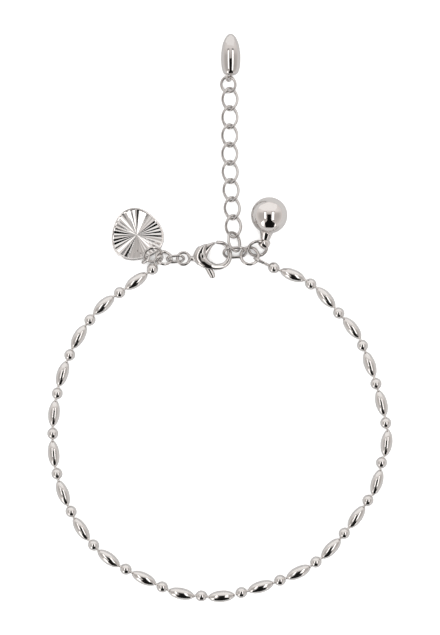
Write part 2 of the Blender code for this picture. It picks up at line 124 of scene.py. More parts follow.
def makeSilver(name, look):
    bench = Bench(name)
    place = bench.node("ShaderNodeTexCoord", output="Object")
    patches = bench.node("ShaderNodeTexNoise", {}, {"Vector": place, "Scale": 1 / (look["patch"] * mm),
                                                    "Detail": 3.0, "Roughness": 0.55})
    colour = bench.node("ShaderNodeMix", {"data_type": "RGBA"},
                        {0: patches, 6: (*look["dark"], 1.0), 7: (*look["light"], 1.0)}, output=2)
    low, high = look["rough"]
    fine = bench.node("ShaderNodeTexNoise", {}, {"Vector": place, "Detail": 2.0,
                                                 "Scale": silverGrain["grains"] / (look["patch"] * mm)})
    roughness = fine * (high - low) + low
    ripple = bench.node("ShaderNodeTexNoise", {}, {"Vector": place, "Scale": 1 / (look["ripple"] * mm),
                                                   "Detail": 1.0})
    stretched = bench.node("ShaderNodeMapping", {}, {
        "Vector": place, "Rotation": silverGrain["scratchTurn"],
        "Scale": tuple(1 / (size * mm) for size in silverGrain["scratchSize"])})
    scratches = bench.node("ShaderNodeTexNoise", {}, {"Vector": stretched, "Scale": 1.0, "Detail": 1.0})
    height = ripple * look["rippleHeight"] + scratches * look["scratchHeight"]
    bump = bench.node("ShaderNodeBump", {}, {"Strength": 1.0, "Distance": mm, "Height": height})
    shader = bench.node("ShaderNodeBsdfPrincipled", {}, {
        "Base Color": colour, "Metallic": 1.0, "Roughness": roughness, "Normal": bump})
    return bench.finish(shader)


silver = {kind: makeSilver(kind + "Silver", look) for kind, look in silverLooks.items()}
print("silver finishes made")


# geometry helpers, in metres
def unit(vector):
    vector = np.array(vector, float)
    return vector / np.linalg.norm(vector)


def smoothLine(points, steps):
    # smooth curve through each of the points
    points = np.array(points, float)
    knots = np.vstack([2 * points[0] - points[1], points, 2 * points[-1] - points[-2]])
    line = []
    for a, b, c, d in zip(knots, knots[1:], knots[2:], knots[3:]):
        for t in np.arange(steps) / steps:
            line.append(0.5 * (2 * b + (c - a) * t + (2 * a - 5 * b + 4 * c - d) * t ** 2
                               + (3 * b - a - 3 * c + d) * t ** 3))
    line.append(points[-1])
    return np.array(line)


def wayAlong(line):
    # length of a line, and a function that gives its point at a distance
    stations = np.concatenate([[0.0], np.cumsum(np.linalg.norm(np.diff(line, axis=0), axis=1))])

    def at(distance):
        return np.array([np.interp(distance, stations, column) for column in line.T])

    return stations[-1], at


def ringAcross(centre, direction, width, height, sides, side=None):
    # ellipse across a direction, with its width along side
    direction = unit(direction)
    if side is None:
        side = (1.0, 0.0, 0.0) if abs(direction[2]) > 0.99 else np.cross(up, direction)
    side = np.array(side, float)
    side = unit(side - direction * side.dot(direction))
    turn = np.linspace(0, 2 * math.pi, sides, endpoint=False)[:, None]
    return centre + side * np.cos(turn) * width / 2 + np.cross(direction, side) * np.sin(turn) * height / 2


def loft(sections, closed=False):
    # skin over rings of equal count, with caps unless it closes on itself
    sides = len(sections[0])
    rows = len(sections)
    faces = []
    for i in range(rows if closed else rows - 1):
        j = (i + 1) % rows
        for k in range(sides):
            m = (k + 1) % sides
            faces.append((i * sides + k, i * sides + m, j * sides + m, j * sides + k))
    if not closed:
        faces.append(tuple(range(sides))[::-1])
        faces.append(tuple(range((rows - 1) * sides, rows * sides)))
    return np.vstack(sections), faces


def turned(centre, axis, profile, sides, closed=False):
    # body turned round an axis: profile rows are (distance along the axis, radius)
    sections = [ringAcross(centre + unit(axis) * along, axis, 2 * radius, 2 * radius, sides)
                for along, radius in profile]
    return loft(sections, closed)


def loopFrame(heading, tilt, pitch):
    # long axis, side axis and normal of a loop that is turned, raised at its far end, then rolled
    h, t, p = (math.radians(angle) for angle in (heading, tilt, pitch))
    along = np.array([math.cos(h) * math.cos(p), math.sin(h) * math.cos(p), math.sin(p)])
    side = np.array([-math.sin(h), math.cos(h), 0.0])
    rolled = side * math.cos(t) + np.cross(along, side) * math.sin(t)
    return along, rolled, np.cross(along, rolled)


def wireLoop(centre, heading, tilt, pitch, halfLength, halfWidth, wire, twist=0.0, band=None, seam=None,
             oval=False, sides=20, arcSteps=30):
    # ring or link of round wire; band widens the wire along the loop's axis, seam is where its ends meet
    straight = halfLength - halfWidth
    isRound = straight < 0.0001 * mm
    along, side, normal = loopFrame(heading, tilt, pitch)
    reach = halfLength - wire / 2
    shape = []
    if oval:
        turns = np.linspace(-math.pi / 2, 1.5 * math.pi, 2 * arcSteps + 8, endpoint=False)
        shape = [(halfLength * math.cos(turn), halfWidth * math.sin(turn)) for turn in turns]
    else:
        for end in (1, -1):
            turns = np.linspace(-math.pi / 2, math.pi / 2, arcSteps + 1)[int(isRound):]
            shape += [(end * (straight + halfWidth * math.cos(turn)), end * halfWidth * math.sin(turn))
                      for turn in turns]
            if not isRound:
                shape += [(end * straight * share, end * halfWidth) for share in (0.6, 0.2, -0.2, -0.6)]
    middles, axes = [], []
    for u, v in shape:
        roll = math.radians(twist) * max(-1.0, min(1.0, u / reach))
        localSide = side * math.cos(roll) + normal * math.sin(roll)
        middles.append(np.array(centre) + along * u + localSide * v)
        axes.append(np.cross(along, localSide))
    count = len(shape)
    sections = []
    for i in range(count):
        tangent = unit(middles[(i + 1) % count] - middles[i - 1])
        sections.append((middles[i], tangent, axes[i]))
    if seam is None:
        rings = [ringAcross(m, t, band or wire, wire, sides, side=a) for m, t, a in sections]
        return loft(rings, closed=True)
    # the cut ends are bevelled and nearly meet
    gap, bevel = 0.025 * mm, 0.04 * mm

    def wireSection(middle, tangent, axis, shift=0.0, width=wire):
        return ringAcross(middle + tangent * shift, tangent, width, width, sides, side=axis)

    start = int(seam * count) % count
    first, *others = sections[start:] + sections[:start]
    rings = [wireSection(*first, gap, wire - 2 * bevel), wireSection(*first, gap + bevel)]
    rings += [wireSection(*section) for section in others]
    rings += [wireSection(*first, -gap - bevel), wireSection(*first, -gap, wire - 2 * bevel)]
    return loft(rings)


def fanFaces(rows, count):
    # faces round a middle point: a fan, then bands between rows of count points
    faces = [(0, 1 + k, 1 + (k + 1) % count) for k in range(count)]
    for row in range(rows - 1):
        a = 1 + row * count
        for k in range(count):
            m = (k + 1) % count
            faces.append((a + k, a + count + k, a + count + m, a + m))
    return faces


def joined(parts):
    # several bodies in one mesh
    points, faces, start = [], [], 0
    for partPoints, partFaces in parts:
        points.append(partPoints)
        faces += [tuple(i + start for i in face) for face in partFaces]
        start += len(partPoints)
    return np.vstack(points), faces


sharpEdge = 38  # faces that meet at more degrees than this show an edge


def newObject(name, points, faces, material, sharpAngle=sharpEdge):
    mesh = bpy.data.meshes.new(name)
    mesh.from_pydata([tuple(p) for p in points], [], faces)
    work = bmesh.new()
    work.from_mesh(mesh)
    bmesh.ops.recalc_face_normals(work, faces=work.faces)
    work.to_mesh(mesh)
    work.free()
    mesh.shade_smooth()
    mesh.set_sharp_from_angle(angle=math.radians(sharpAngle))
    mesh.materials.append(material)
    item = bpy.data.objects.new(name, mesh)
    bpy.context.scene.collection.objects.link(item)
    return item


def settle(piece, body, *nodes):
    # the piece rides on its body and stands for its nodes
    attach(piece, body)
    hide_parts(*nodes)


def cutAway(piece, *cutters):
    # takes closed bodies out of a piece for good
    for cutter in cutters:
        step = piece.modifiers.new("cut", "BOOLEAN")
        step.operation = "DIFFERENCE"
        step.solver = "EXACT"
        step.object = cutter
    bpy.context.view_layer.update()
    cut = bpy.data.meshes.new_from_object(piece.evaluated_get(bpy.context.evaluated_depsgraph_get()))
    piece.modifiers.clear()
    piece.data = cut
    for cutter in cutters:
        bpy.data.objects.remove(cutter, do_unlink=True)
    cut.set_sharp_from_angle(angle=math.radians(sharpEdge))


def atMm(*values):
    return np.array(values, float) * mm


def sized(rows):
    # millimetre rows in metres
    return [tuple(value * mm for value in row) for row in rows]


# bead string: balls and pointed ovals in turn, in two halves
stringSizes = dict(ball=2.5, oval=2.6, neck=0.6, neckLength=0.45, beads=47, sides=32, meetingGap=0.3,
                   route=((-15.2, 10.9), (-29.1, -0.3), (-36.6, -16.9), (-36.7, -35.2), (-28.2, -51.5),
                          (-13.3, -60.5), (-4.8, -62.6), (4.8, -61.9), (21.5, -55.1), (33.2, -41.3),
                          (36.2, -33.2), (37.4, -24.2), (32.3, -6.8), (26.9, 0.8), (20.5, 7.5), (12.1, 11.2)),
                   # radius follows sine to this power along an oval; the waist is a share of the neck
                   ballSteps=22, ovalSteps=30, ovalPower=1.08, waist=0.86, waistInset=0.1,
                   # stem from a ball to its eye: share of the way, and width
                   stem=((0.0, 0.62), (0.25, 0.5), (0.6, 0.46), (1.0, 0.5)), stemRoot=0.93, eyeWire=0.5,
                   eyes={"Left": dict(heading=55, pitch=20, tilt=55, halfLength=1.15, halfWidth=0.85,
                                      stand=0.2),
                         "Right": dict(heading=154, pitch=2, tilt=94, halfLength=1.75, halfWidth=1.1,
                                       stand=0.1)})


def beadPlaces():
    route = [(x * mm, y * mm, stringSizes["oval"] / 2 * mm) for x, y in stringSizes["route"]]
    length, at = wayAlong(smoothLine(route, 40))
    spacing = length / (stringSizes["beads"] - 1)
    half = stringSizes["ball"] / 2 * mm
    places = []
    for i in range(stringSizes["beads"]):
        here = i * spacing
        direction = unit(at(min(here + half, length)) - at(max(here - half, 0.0)))
        places.append((at(here), direction))
    return places, spacing


def beadProfile(isBall, spacing):
    # offsets along a bead with the radius there, from neck to neck
    ball, oval, neck = (stringSizes[key] * mm for key in ("ball", "oval", "neck"))
    if isBall:
        half, radius, steps, power = ball / 2, ball / 2, stringSizes["ballSteps"], 1.0
    else:
        half, radius = spacing - ball / 2 - stringSizes["neckLength"] * mm, oval / 2
        steps, power = stringSizes["ovalSteps"], stringSizes["ovalPower"]
    start = math.asin((neck / 2 / radius) ** (1 / power))
    profile = []
    for turn in np.linspace(start, math.pi - start, steps + 1):
        profile.append((-half * math.cos(turn) / math.cos(start), radius * math.sin(turn) ** power))
    waist, inset = neck / 2 * stringSizes["waist"], stringSizes["waistInset"] * mm
    return [(profile[0][0] - inset, waist)] + profile + [(profile[-1][0] + inset, waist)]


def makeBeadString():
    places, spacing = beadPlaces()
    sides, neck = stringSizes["sides"], stringSizes["neck"] * mm
    middle = (stringSizes["beads"] + 1) // 2
    for name, beads, node in (("Left", range(0, middle), "bead_string_left"),
                              ("Right", range(middle, stringSizes["beads"]), "bead_string_right")):
        eye = stringSizes["eyes"][name]
        endBead = beads[0] if name == "Left" else beads[-1]
        ballCentre = places[endBead][0]
        along = loopFrame(eye["heading"], 0, eye["pitch"])[0]
        foot = ballCentre + along * (stringSizes["ball"] / 2 + eye["stand"]) * mm
        eyeCentre = foot + along * eye["halfLength"] * mm
        parts = [wireLoop(eyeCentre, eye["heading"], eye["tilt"], eye["pitch"], eye["halfLength"] * mm,
                          eye["halfWidth"] * mm, stringSizes["eyeWire"] * mm, arcSteps=20, sides=16)]
        root = stringSizes["ball"] / 2 * mm * stringSizes["stemRoot"]
        reach = np.linalg.norm(foot - ballCentre) - root
        stem = [(root + share * reach, width / 2 * mm) for share, width in stringSizes["stem"]]
        parts.append(turned(ballCentre, along, stem, 16))
        sections = []
        for i in beads:
            centre, direction = places[i]
            for offset, radius in beadProfile(i % 2 == 0, spacing):
                # the last bead of a half has no waist on its outer side
                if i == endBead and (offset < 0) == (name == "Left") and radius < neck * 0.49:
                    continue
                sections.append(ringAcross(centre + direction * offset, direction, 2 * radius, 2 * radius,
                                           sides))
        if name == "Left":
            stub = offset + (stringSizes["neckLength"] - stringSizes["meetingGap"]) * mm / 2
            sections.append(ringAcross(centre + direction * stub, direction, 2 * radius, 2 * radius, sides))
        parts.append(loft(sections))
        settle(newObject("beadString" + name, *joined(parts), silver["bead"]), "anklet", node)


makeBeadString()
print("bead string made")


# extender chain: oval links with a twist that lets the next one through
chainSizes = dict(wire=0.6, width=3.95, pitch=4.1, count=8, play=0.2, foot=(3.15, 18.08), bend=(2.25, 34.0),
                  aim=(2.25, 49.3), twistShare=1.25, levelShare=0.6)


def linkSize():
    # half length and half width of a link's middle line, and its twist at the ends
    wire, play = chainSizes["wire"] * mm, chainSizes["play"] * mm
    halfLength = (chainSizes["pitch"] * mm + play + wire) / 2
    halfWidth = (chainSizes["width"] * mm - wire) / 2
    depth = (2 * halfLength - chainSizes["pitch"] * mm) / 2
    crossing = halfWidth * math.sqrt(1 - (1 - depth / halfLength) ** 2)
    twist = math.degrees(math.asin((wire + play) * chainSizes["twistShare"] / (2 * crossing)))
    return halfLength, halfWidth, twist


def chainPlaces():
    halfLength = linkSize()[0]
    pitch = chainSizes["pitch"] * mm
    line = smoothLine([atMm(*chainSizes[key]) for key in ("foot", "bend", "aim")], 40)
    line = np.vstack([line, line[-1] + unit(line[-1] - line[-2]) * pitch * chainSizes["count"]])
    at = wayAlong(line)[1]
    wire = chainSizes["wire"] * mm
    places = []
    for number in range(1, chainSizes["count"] + 1):
        here = halfLength + (chainSizes["count"] - number) * pitch
        places.append((at(here), unit(at(here + wire) - at(here - wire))))
    return places


def makeExtender():
    halfLength, halfWidth, twist = linkSize()
    wire = chainSizes["wire"] * mm
    level = wire / 2 + halfWidth * math.sin(math.radians(twist)) * chainSizes["levelShare"]
    for number, (spot, outward) in enumerate(chainPlaces(), 1):
        heading = math.degrees(math.atan2(outward[1], outward[0]))
        link = wireLoop((*spot, level), heading, 0, 0, halfLength, halfWidth, wire, twist=twist, oval=True)
        settle(newObject(f"extenderLink{number}", *link, silver["wire"]), "anklet", f"extender_link_{number}")


makeExtender()
print("extender links made")


# jump rings and plain links: place, heading, tilt and pitch, half length, half width, wire and seam
ringTable = {
    "extender_ring": (3.17, 17.01, 2.035, -92, -47, 31, 2.30, 1.85, 0.60, None),
    "hook_link": (3.34, 14.62, 1.525, 3, 50, 0, 2.50, 1.60, 0.60, None),
    "end_ring": (6.66, 13.86, 1.27, 42, -9, -9, 1.95, 1.95, 0.66, 0.62),
    "bell_ring": (8.50, 15.50, 1.60, 1, 38, -6, 2.03, 2.03, 0.66, 0.34),
    "clasp_link": (-10.01, 13.19, 1.35, 5, 55, 7, 1.85, 1.15, 0.60, None),
    "string_ring": (-12.65, 13.41, 1.35, 117, 24, -27, 1.70, 1.70, 0.66, 0.52),
    "disc_ring": (-15.10, 14.15, 1.93, -28, 28, -32, 1.95, 1.95, 0.66, 0.30),
}


def makeRings():
    for node, (x, y, z, heading, tilt, pitch, halfLength, halfWidth, wire, seam) in ringTable.items():
        ring = wireLoop(atMm(x, y, z), heading, tilt, pitch, halfLength * mm, halfWidth * mm, wire * mm,
                        seam=seam, arcSteps=36)
        words = node.split("_")
        settle(newObject(words[0] + words[1].title(), *ring, silver["wire"]), "anklet", node)


makeRings()
print("rings made")


# clasp: widths, lengths and thicknesses in millimetres from the lever's pivot
claspSizes = dict(level=1.5, pivot=(-3.94, 13.95), thickness=2.2, lever=1.0, play=0.15, cutReach=4.0,
                  # outer and inner edge of the body, from the claw's tip round to the lever's slot
                  body=(((3.22, 3.36), (3.22, 2.58)), ((4.35, 3.28), (4.05, 2.48)),
                        ((5.45, 2.72), (4.85, 2.10)), ((6.30, 1.60), (5.42, 1.25)),
                        ((6.68, -0.10), (5.62, -0.10)), ((6.05, -1.98), (4.95, -1.35)),
                        ((4.45, -3.06), (3.95, -1.80)), ((2.30, -3.26), (2.95, -1.85)),
                        ((0.15, -2.82), (2.00, -1.35)), ((-1.50, -1.68), (1.35, -0.70)),
                        ((-2.08, -0.12), (1.05, 0.10)), ((-1.30, 1.72), (1.05, 1.10)),
                        ((-0.20, 2.36), (1.05, 1.95)), ((0.62, 2.60), (1.05, 2.55))),
                  # half thickness along X, and how boxy the section is along X and Y
                  side=((-2.7, 0.65), (-1.4, 0.99), (0.1, 1.12), (1.9, 1.06), (4.6, 0.53), (5.6, 0.45),
                        (7.2, 0.45)),
                  boxyAlong=((1.5, 2.6), (4.0, 2.1)), boxyAcross=((-0.6, 2.6), (1.2, 1.95)), leverBoxy=2.2,
                  # rounding at both ends: turns in degrees, and reach as a share of the width
                  capTurns=(0, 25, 45, 62, 76, 86), capReach=0.45,
                  # slot that the lever turns in
                  slot=((-1.0, -4.0), (3.1, -4.0), (2.65, -3.3), (2.15, -2.45), (1.75, -1.6), (2.5, -0.9),
                        (2.5, 4.0), (-0.75, 4.0), (-0.75, 1.9), (-1.05, 1.35), (-1.35, 0.6), (-1.4, -0.3),
                        (-1.3, -1.15), (-1.0, -1.75)),
                  # left and right edge of the lever, from its tip to the end of its thumb tab
                  leverEdges=(((2.86, 3.10), (2.86, 2.58)), ((1.90, 2.88), (2.22, 2.02)),
                              ((0.55, 2.38), (1.62, 1.10)), ((-0.52, 1.58), (1.30, 0.45)),
                              ((-1.02, 0.50), (1.10, -0.20)), ((-0.93, -0.68), (1.08, -0.80)),
                              ((-0.10, -1.60), (1.42, -1.72)), ((0.34, -2.42), (1.95, -2.62)),
                              ((0.86, -3.44), (2.42, -3.40)), ((1.36, -4.40), (2.74, -4.05)),
                              ((1.80, -5.06), (2.92, -4.62))),
                  # rear ring, and its collar as distance and radius
                  rearReach=4.28, rearDrop=0.68, rearRing=2.72, wire=0.66,
                  collar=((0.0, 0.30), (0.12, 0.50), (0.30, 0.575), (0.55, 0.56), (0.85, 0.60), (1.20, 0.72),
                          (1.50, 0.60)),
                  # pin, and its head as distance past the clasp's face and radius
                  pin=0.7, pinPlay=0.15, headStand=0.02,
                  head=((-0.06, 0.53), (0.0, 0.56), (0.06, 0.50), (0.11, 0.336), (0.13, 0.084)))


def follow(rows, place):
    # value at a place between rows of place and value
    places, values = zip(*rows)
    return float(np.interp(place, places, values))


def edgeBand(edges, thickness, boxiness, sides=28, steps=8):
    # body between two edge lines, with a rounded section across each pair of points
    outer = smoothLine([pair[0] for pair in edges], steps)
    inner = smoothLine([pair[1] for pair in edges], steps)
    turns = np.linspace(0, 2 * math.pi, sides, endpoint=False)

    def section(a, b, shrink=1.0, shift=0.0):
        middle, half = (a + b) / 2 + shift, (a - b) / 2 * shrink
        rise, power = thickness(middle[0]) * shrink, boxiness(*middle)
        ring = []
        for turn in turns:
            across = math.copysign(abs(math.cos(turn)) ** (2 / power), math.cos(turn))
            height = math.copysign(abs(math.sin(turn)) ** (2 / power), math.sin(turn))
            ring.append((*(middle + half * across), rise * height))
        return np.array(ring)

    def cap(end, neighbour):
        a, b = outer[end], inner[end]
        ahead = unit((a + b) - (outer[neighbour] + inner[neighbour]))
        reach = np.linalg.norm(a - b) / 2 * claspSizes["capReach"]
        return [section(a, b, math.cos(turn), ahead * reach * math.sin(turn))
                for turn in np.radians(claspSizes["capTurns"])]

    sections = cap(0, 1)[::-1] + [section(a, b) for a, b in zip(outer[1:-1], inner[1:-1])] + cap(-1, -2)
    points, faces = loft(sections)
    return (points + np.array([*claspSizes["pivot"], claspSizes["level"]])) * mm, faces


def makeClasp():
    sizes = claspSizes
    pivot = atMm(*sizes["pivot"], sizes["level"])

    def boreCutter():
        radius, reach = (sizes["pin"] / 2 + sizes["pinPlay"]) * mm, sizes["cutReach"] * mm
        return newObject("boreCutter", *turned(pivot, up, ((-reach, radius), (reach, radius)), 32),
                         silver["cast"])

    body = newObject("claspBody", *edgeBand(
        sizes["body"], lambda x: follow(sizes["side"], x),
        lambda x, y: min(follow(sizes["boxyAlong"], x), follow(sizes["boxyAcross"], y))), silver["cast"])
    slotHalf = sizes["lever"] / 2 + sizes["play"]
    slotLayers = [[pivot + atMm(x, y, z) for x, y in sizes["slot"]] for z in (-slotHalf, slotHalf)]
    cutAway(body, newObject("slotCutter", *loft(slotLayers), silver["cast"]), boreCutter())

    # rear ring and its collar, cast in one with the body
    ringCentre = pivot - atMm(sizes["rearReach"], sizes["rearDrop"], 0)
    half = sizes["rearRing"] / 2 * mm
    ring = wireLoop(ringCentre, 0, 0, 0, half, half, sizes["wire"] * mm, sides=24)
    collar = turned(ringCentre + np.array([half, 0, 0]), (1, 0, 0), sized(sizes["collar"]), 32)
    rear = newObject("claspRear", *joined([ring, collar]), silver["cast"])
    added = bmesh.new()
    added.from_mesh(body.data)
    added.from_mesh(rear.data)
    added.to_mesh(body.data)
    added.free()
    bpy.data.objects.remove(rear, do_unlink=True)
    body.data.set_sharp_from_angle(angle=math.radians(sharpEdge))
    settle(body, "anklet", "clasp_body")

    lever = newObject("claspLever", *edgeBand(sizes["leverEdges"], lambda x: sizes["lever"] / 2,
                                              lambda x, y: sizes["leverBoxy"]), silver["cast"])
    cutAway(lever, boreCutter())
    settle(lever, "lever", "clasp_lever")

    face = sizes["thickness"] / 2 + sizes["headStand"]
    head = [(face + stand, radius) for stand, radius in sizes["head"]]
    shank = sizes["pin"] / 2
    profile = [(0.0, shank), (head[0][0], shank)] + head
    profile = [(-along, radius) for along, radius in reversed(profile[1:])] + profile
    pin = turned(pivot, up, sized(profile), 32)
    settle(newObject("claspPin", *pin, silver["cast"]), "anklet", "clasp_pin")


makeClasp()
print("clasp made")


# disc charm: flat grooves cut from the centre to a plain rim
discSizes = dict(diameter=11.8, hang=109.8, edge=0.75, crown=0.62, lean=(0.035, -0.02),
                 lobes=3, lobe=0.055, lobeTurn=106,
                 earCentre=(-16.7, 12.92, 1.3), earTurn=(51, 110, -23), earStand=0.15, earDiameter=2.0,
                 earWire=0.48,
                 rays=36, slope=0.34, slopeRange=(0.6, 1.25), jitter=0.24, rim=0.36, sharp=9,
                 # rows of points: shares of a cut, shares of the half-round rim, then inset and height
                 cutRows=(0.03, 0.1, 0.2, 0.3, 0.4, 0.5, 0.6, 0.7, 0.8, 0.9, 0.97),
                 rimRows=(-0.95, -0.75, -0.5, -0.25, 0.0, 0.25, 0.5, 0.75, 0.95), rimDrop=0.4,
                 footRows=((0.0, 0.375), (0.0, 0.14), (0.05, 0.03), (0.16, 0.0)),
                 # tool lines round and outwards, tones of the rays, roughness and depth of the lines
                 lines=(60.0, 900.0), rayTones=6.0, dark=(0.86, 0.842, 0.832), light=(0.95, 0.935, 0.925),
                 rough=(0.04, 0.11), lineDepth=0.0016)


def discCentre():
    hang = math.radians(discSizes["hang"])
    reach = discSizes["diameter"] / 2 + discSizes["earStand"]
    return atMm(discSizes["earCentre"][0] + reach * math.cos(hang),
                discSizes["earCentre"][1] + reach * math.sin(hang), 0)


def makeCutSilver():
    # bright cuts: fine tool lines run out from the centre, each in its own tone
    sizes = discSizes
    bench = Bench("cutSilver")
    place = bench.node("ShaderNodeTexCoord", output="Object")
    fromCentre = bench.node("ShaderNodeVectorMath", {"operation": "SUBTRACT"},
                            {0: place, 1: tuple(discCentre())})
    x, y = (bench.node("ShaderNodeSeparateXYZ", {}, {0: fromCentre}, output=axis) for axis in (0, 1))
    angle = bench.node("ShaderNodeMath", {"operation": "ARCTAN2"}, {0: y, 1: x})
    radius = bench.node("ShaderNodeVectorMath", {"operation": "LENGTH"}, {0: fromCentre}, output="Value")
    around, outwards = sizes["lines"]
    lineVector = bench.node("ShaderNodeCombineXYZ", {}, {0: angle * around, 1: radius * outwards})
    lines = bench.node("ShaderNodeTexNoise", {}, {"Vector": lineVector, "Scale": 1.0, "Detail": 1.0})
    rayVector = bench.node("ShaderNodeCombineXYZ", {}, {0: angle * sizes["rayTones"]})
    rays = bench.node("ShaderNodeTexNoise", {}, {"Vector": rayVector, "Scale": 1.0, "Detail": 0.0})
    colour = bench.node("ShaderNodeMix", {"data_type": "RGBA"},
                        {0: rays, 6: (*sizes["dark"], 1), 7: (*sizes["light"], 1)}, output=2)
    bump = bench.node("ShaderNodeBump", {}, {"Strength": 1.0, "Distance": mm,
                                             "Height": lines * sizes["lineDepth"]})
    low, high = sizes["rough"]
    shader = bench.node("ShaderNodeBsdfPrincipled", {}, {
        "Base Color": colour, "Metallic": 1.0, "Roughness": lines * (high - low) + low, "Normal": bump})
    return bench.finish(shader)


def makeDisc():
    sizes = discSizes
    centre = discCentre()
    radius, rim, edge, crown = sizes["diameter"] / 2, sizes["rim"], sizes["edge"], sizes["crown"]
    count = 2 * sizes["rays"]
    cutEnd = radius - rim
    turns, depths = [], []
    for k in range(count):
        turns.append(2 * math.pi * (k + random.uniform(-1, 1) * sizes["jitter"]) / count)
        slope = sizes["slope"] * random.uniform(*sizes["slopeRange"]) if k % 2 else 0.0
        depths.append(slope * math.pi / sizes["rays"])
    # each row is a reach and a height, from the centre out to the rim and under it
    sections = []
    for share, relief in [(share, 1.0) for share in sizes["cutRows"]] + [(1.0, 0.0)]:
        reach, level = share * cutEnd, crown - (crown - edge) * share ** 2
        sections.append([(reach, level - reach * depth * relief) for depth in depths])
    rows = [(radius - rim * (0.5 - 0.5 * share), edge - sizes["rimDrop"] * rim * share ** 2)
            for share in sizes["rimRows"]]
    rows += [(radius - inset, height) for inset, height in sizes["footRows"]]
    sections += [[row] * count for row in rows]
    points = [centre + atMm(0, 0, crown)]
    for section in sections:
        for turn, (reach, height) in zip(turns, section):
            lobe = math.cos(sizes["lobes"] * (turn - math.radians(sizes["lobeTurn"])))
            uneven = 1 + sizes["lobe"] * lobe * reach / radius
            x, y = reach * uneven * math.cos(turn), reach * uneven * math.sin(turn)
            # the cut face leans a little
            height += (sizes["lean"][0] * x + sizes["lean"][1] * y) * min(1.0, max(0.0, height / edge))
            points.append(centre + atMm(x, y, height))
    faces = fanFaces(len(sections), count)
    faces.append(tuple(range(len(points) - count, len(points))))
    earRadius = sizes["earDiameter"] / 2 * mm
    ear = wireLoop(atMm(*sizes["earCentre"]), *sizes["earTurn"], earRadius, earRadius, sizes["earWire"] * mm,
                   arcSteps=24)
    disc = newObject("discCharm", *joined([(np.array(points), faces), ear]), makeCutSilver(),
                     sharpAngle=sizes["sharp"])
    for face in disc.data.polygons:
        if face.index >= len(faces):
            face.use_smooth = True
    settle(disc, "anklet", "disc_charm")


makeDisc()
print("disc made")


# bell charm: hollow ball with two round holes, a collar and a waisted neck with an eye
bellSizes = dict(diameter=8.14, wall=0.45, centre=(11.03, 22.91), across=(0.97, -0.23, 0.0),
                 # holes: diameter, depth of the lip, and how far the shell's faces stop short of it
                 hole=0.9, lip=0.08, outerStop=1.12, innerStop=1.15, outerSteps=73, innerSteps=41,
                 eyeCentre=(9.94, 16.67, 2.2), eyeTurn=(54, 116, -10), eyeDiameter=1.9, eyeWire=0.5,
                 eyeWidth=1.9,
                 # collar and neck from the ball's centre in ball radii: collar radius, neck width and height
                 collar=((0.90, 1.25), (0.915, 1.42), (0.935, 1.49), (0.965, 1.50), (0.99, 1.44),
                         (1.005, 1.30), (1.01, 1.10)),
                 neck=((0.95, 3.00, 3.00), (1.02, 2.86, 2.86), (1.07, 2.72, 2.72), (1.13, 2.56, 2.56),
                       (1.20, 2.40, 2.40), (1.28, 2.24, 2.22)),
                 shoulder=((-0.04, 2.12, 2.06), (0.0, 1.98, 1.86), (0.04, 1.72, 1.50)))


def makeBell():
    sizes = bellSizes
    radius = sizes["diameter"] / 2 * mm
    centre = np.array([*atMm(*sizes["centre"]), radius])
    eyeCentre = atMm(*sizes["eyeCentre"])
    neckWay = unit(eyeCentre - centre)
    holeRadius = sizes["hole"] / 2 * mm
    start = math.asin(holeRadius / radius)

    def shellRows(size, stop, steps):
        return [(size * math.cos(turn), size * math.sin(turn))
                for turn in np.linspace(start * stop, math.pi - start * stop, steps)]

    lip = (radius - sizes["lip"] * mm) * math.cos(start)
    profile = shellRows(radius, sizes["outerStop"], sizes["outerSteps"]) + [(-lip, holeRadius)]
    profile += shellRows(radius - sizes["wall"] * mm, sizes["innerStop"], sizes["innerSteps"])[::-1]
    profile += [(lip, holeRadius)]
    parts = [turned(centre, sizes["across"], profile, 96, closed=True),
             turned(centre, neckWay, [(a * radius, r * mm) for a, r in sizes["collar"]], 48)]

    eyeRadius = sizes["eyeDiameter"] / 2 * mm
    shoulder = (np.linalg.norm(eyeCentre - centre) - eyeRadius) / radius
    neck = [*sizes["neck"], *((shoulder + step, width, height) for step, width, height in sizes["shoulder"])]
    eyeAxis = loopFrame(*sizes["eyeTurn"])[2]
    parts.append(loft([ringAcross(centre + neckWay * a * radius, neckWay, width * mm, height * mm, 32,
                                  side=eyeAxis) for a, width, height in neck]))
    parts.append(wireLoop(eyeCentre, *sizes["eyeTurn"], eyeRadius, eyeRadius, sizes["eyeWire"] * mm,
                          band=sizes["eyeWidth"] * mm, arcSteps=28, sides=24))
    settle(newObject("bellCharm", *joined(parts), silver["shell"]), "anklet", "bell_charm")


makeBell()
print("bell made")


# drop at the extender's end, and its ring
dropSizes = dict(length=9.2, width=4.35, thickness=3.9, rise=0.36, rest=0.62,
                 ring=3.4, ringTurn=(101, -22, 5), ringSeam=0.45, ringReach=0.81, ringShift=-0.38,
                 ringLevel=1.09,
                 eye=1.7, eyeTurn=(97, 50, 20), eyeWire=0.54, eyeReach=1.67, eyeShift=0.13, eyeLevel=1.40,
                 footReach=0.47, footShift=0.4,
                 # share of the length back from the tip, share of the full width and thickness
                 shape=((0.0, 0.06), (0.008, 0.17), (0.03, 0.31), (0.06, 0.43), (0.11, 0.58), (0.215, 0.775),
                        (0.32, 0.89), (0.44, 0.965), (0.58, 1.0), (0.74, 0.97), (0.84, 0.91), (0.92, 0.81),
                        (0.97, 0.68), (0.99, 0.55), (1.0, 0.40)))


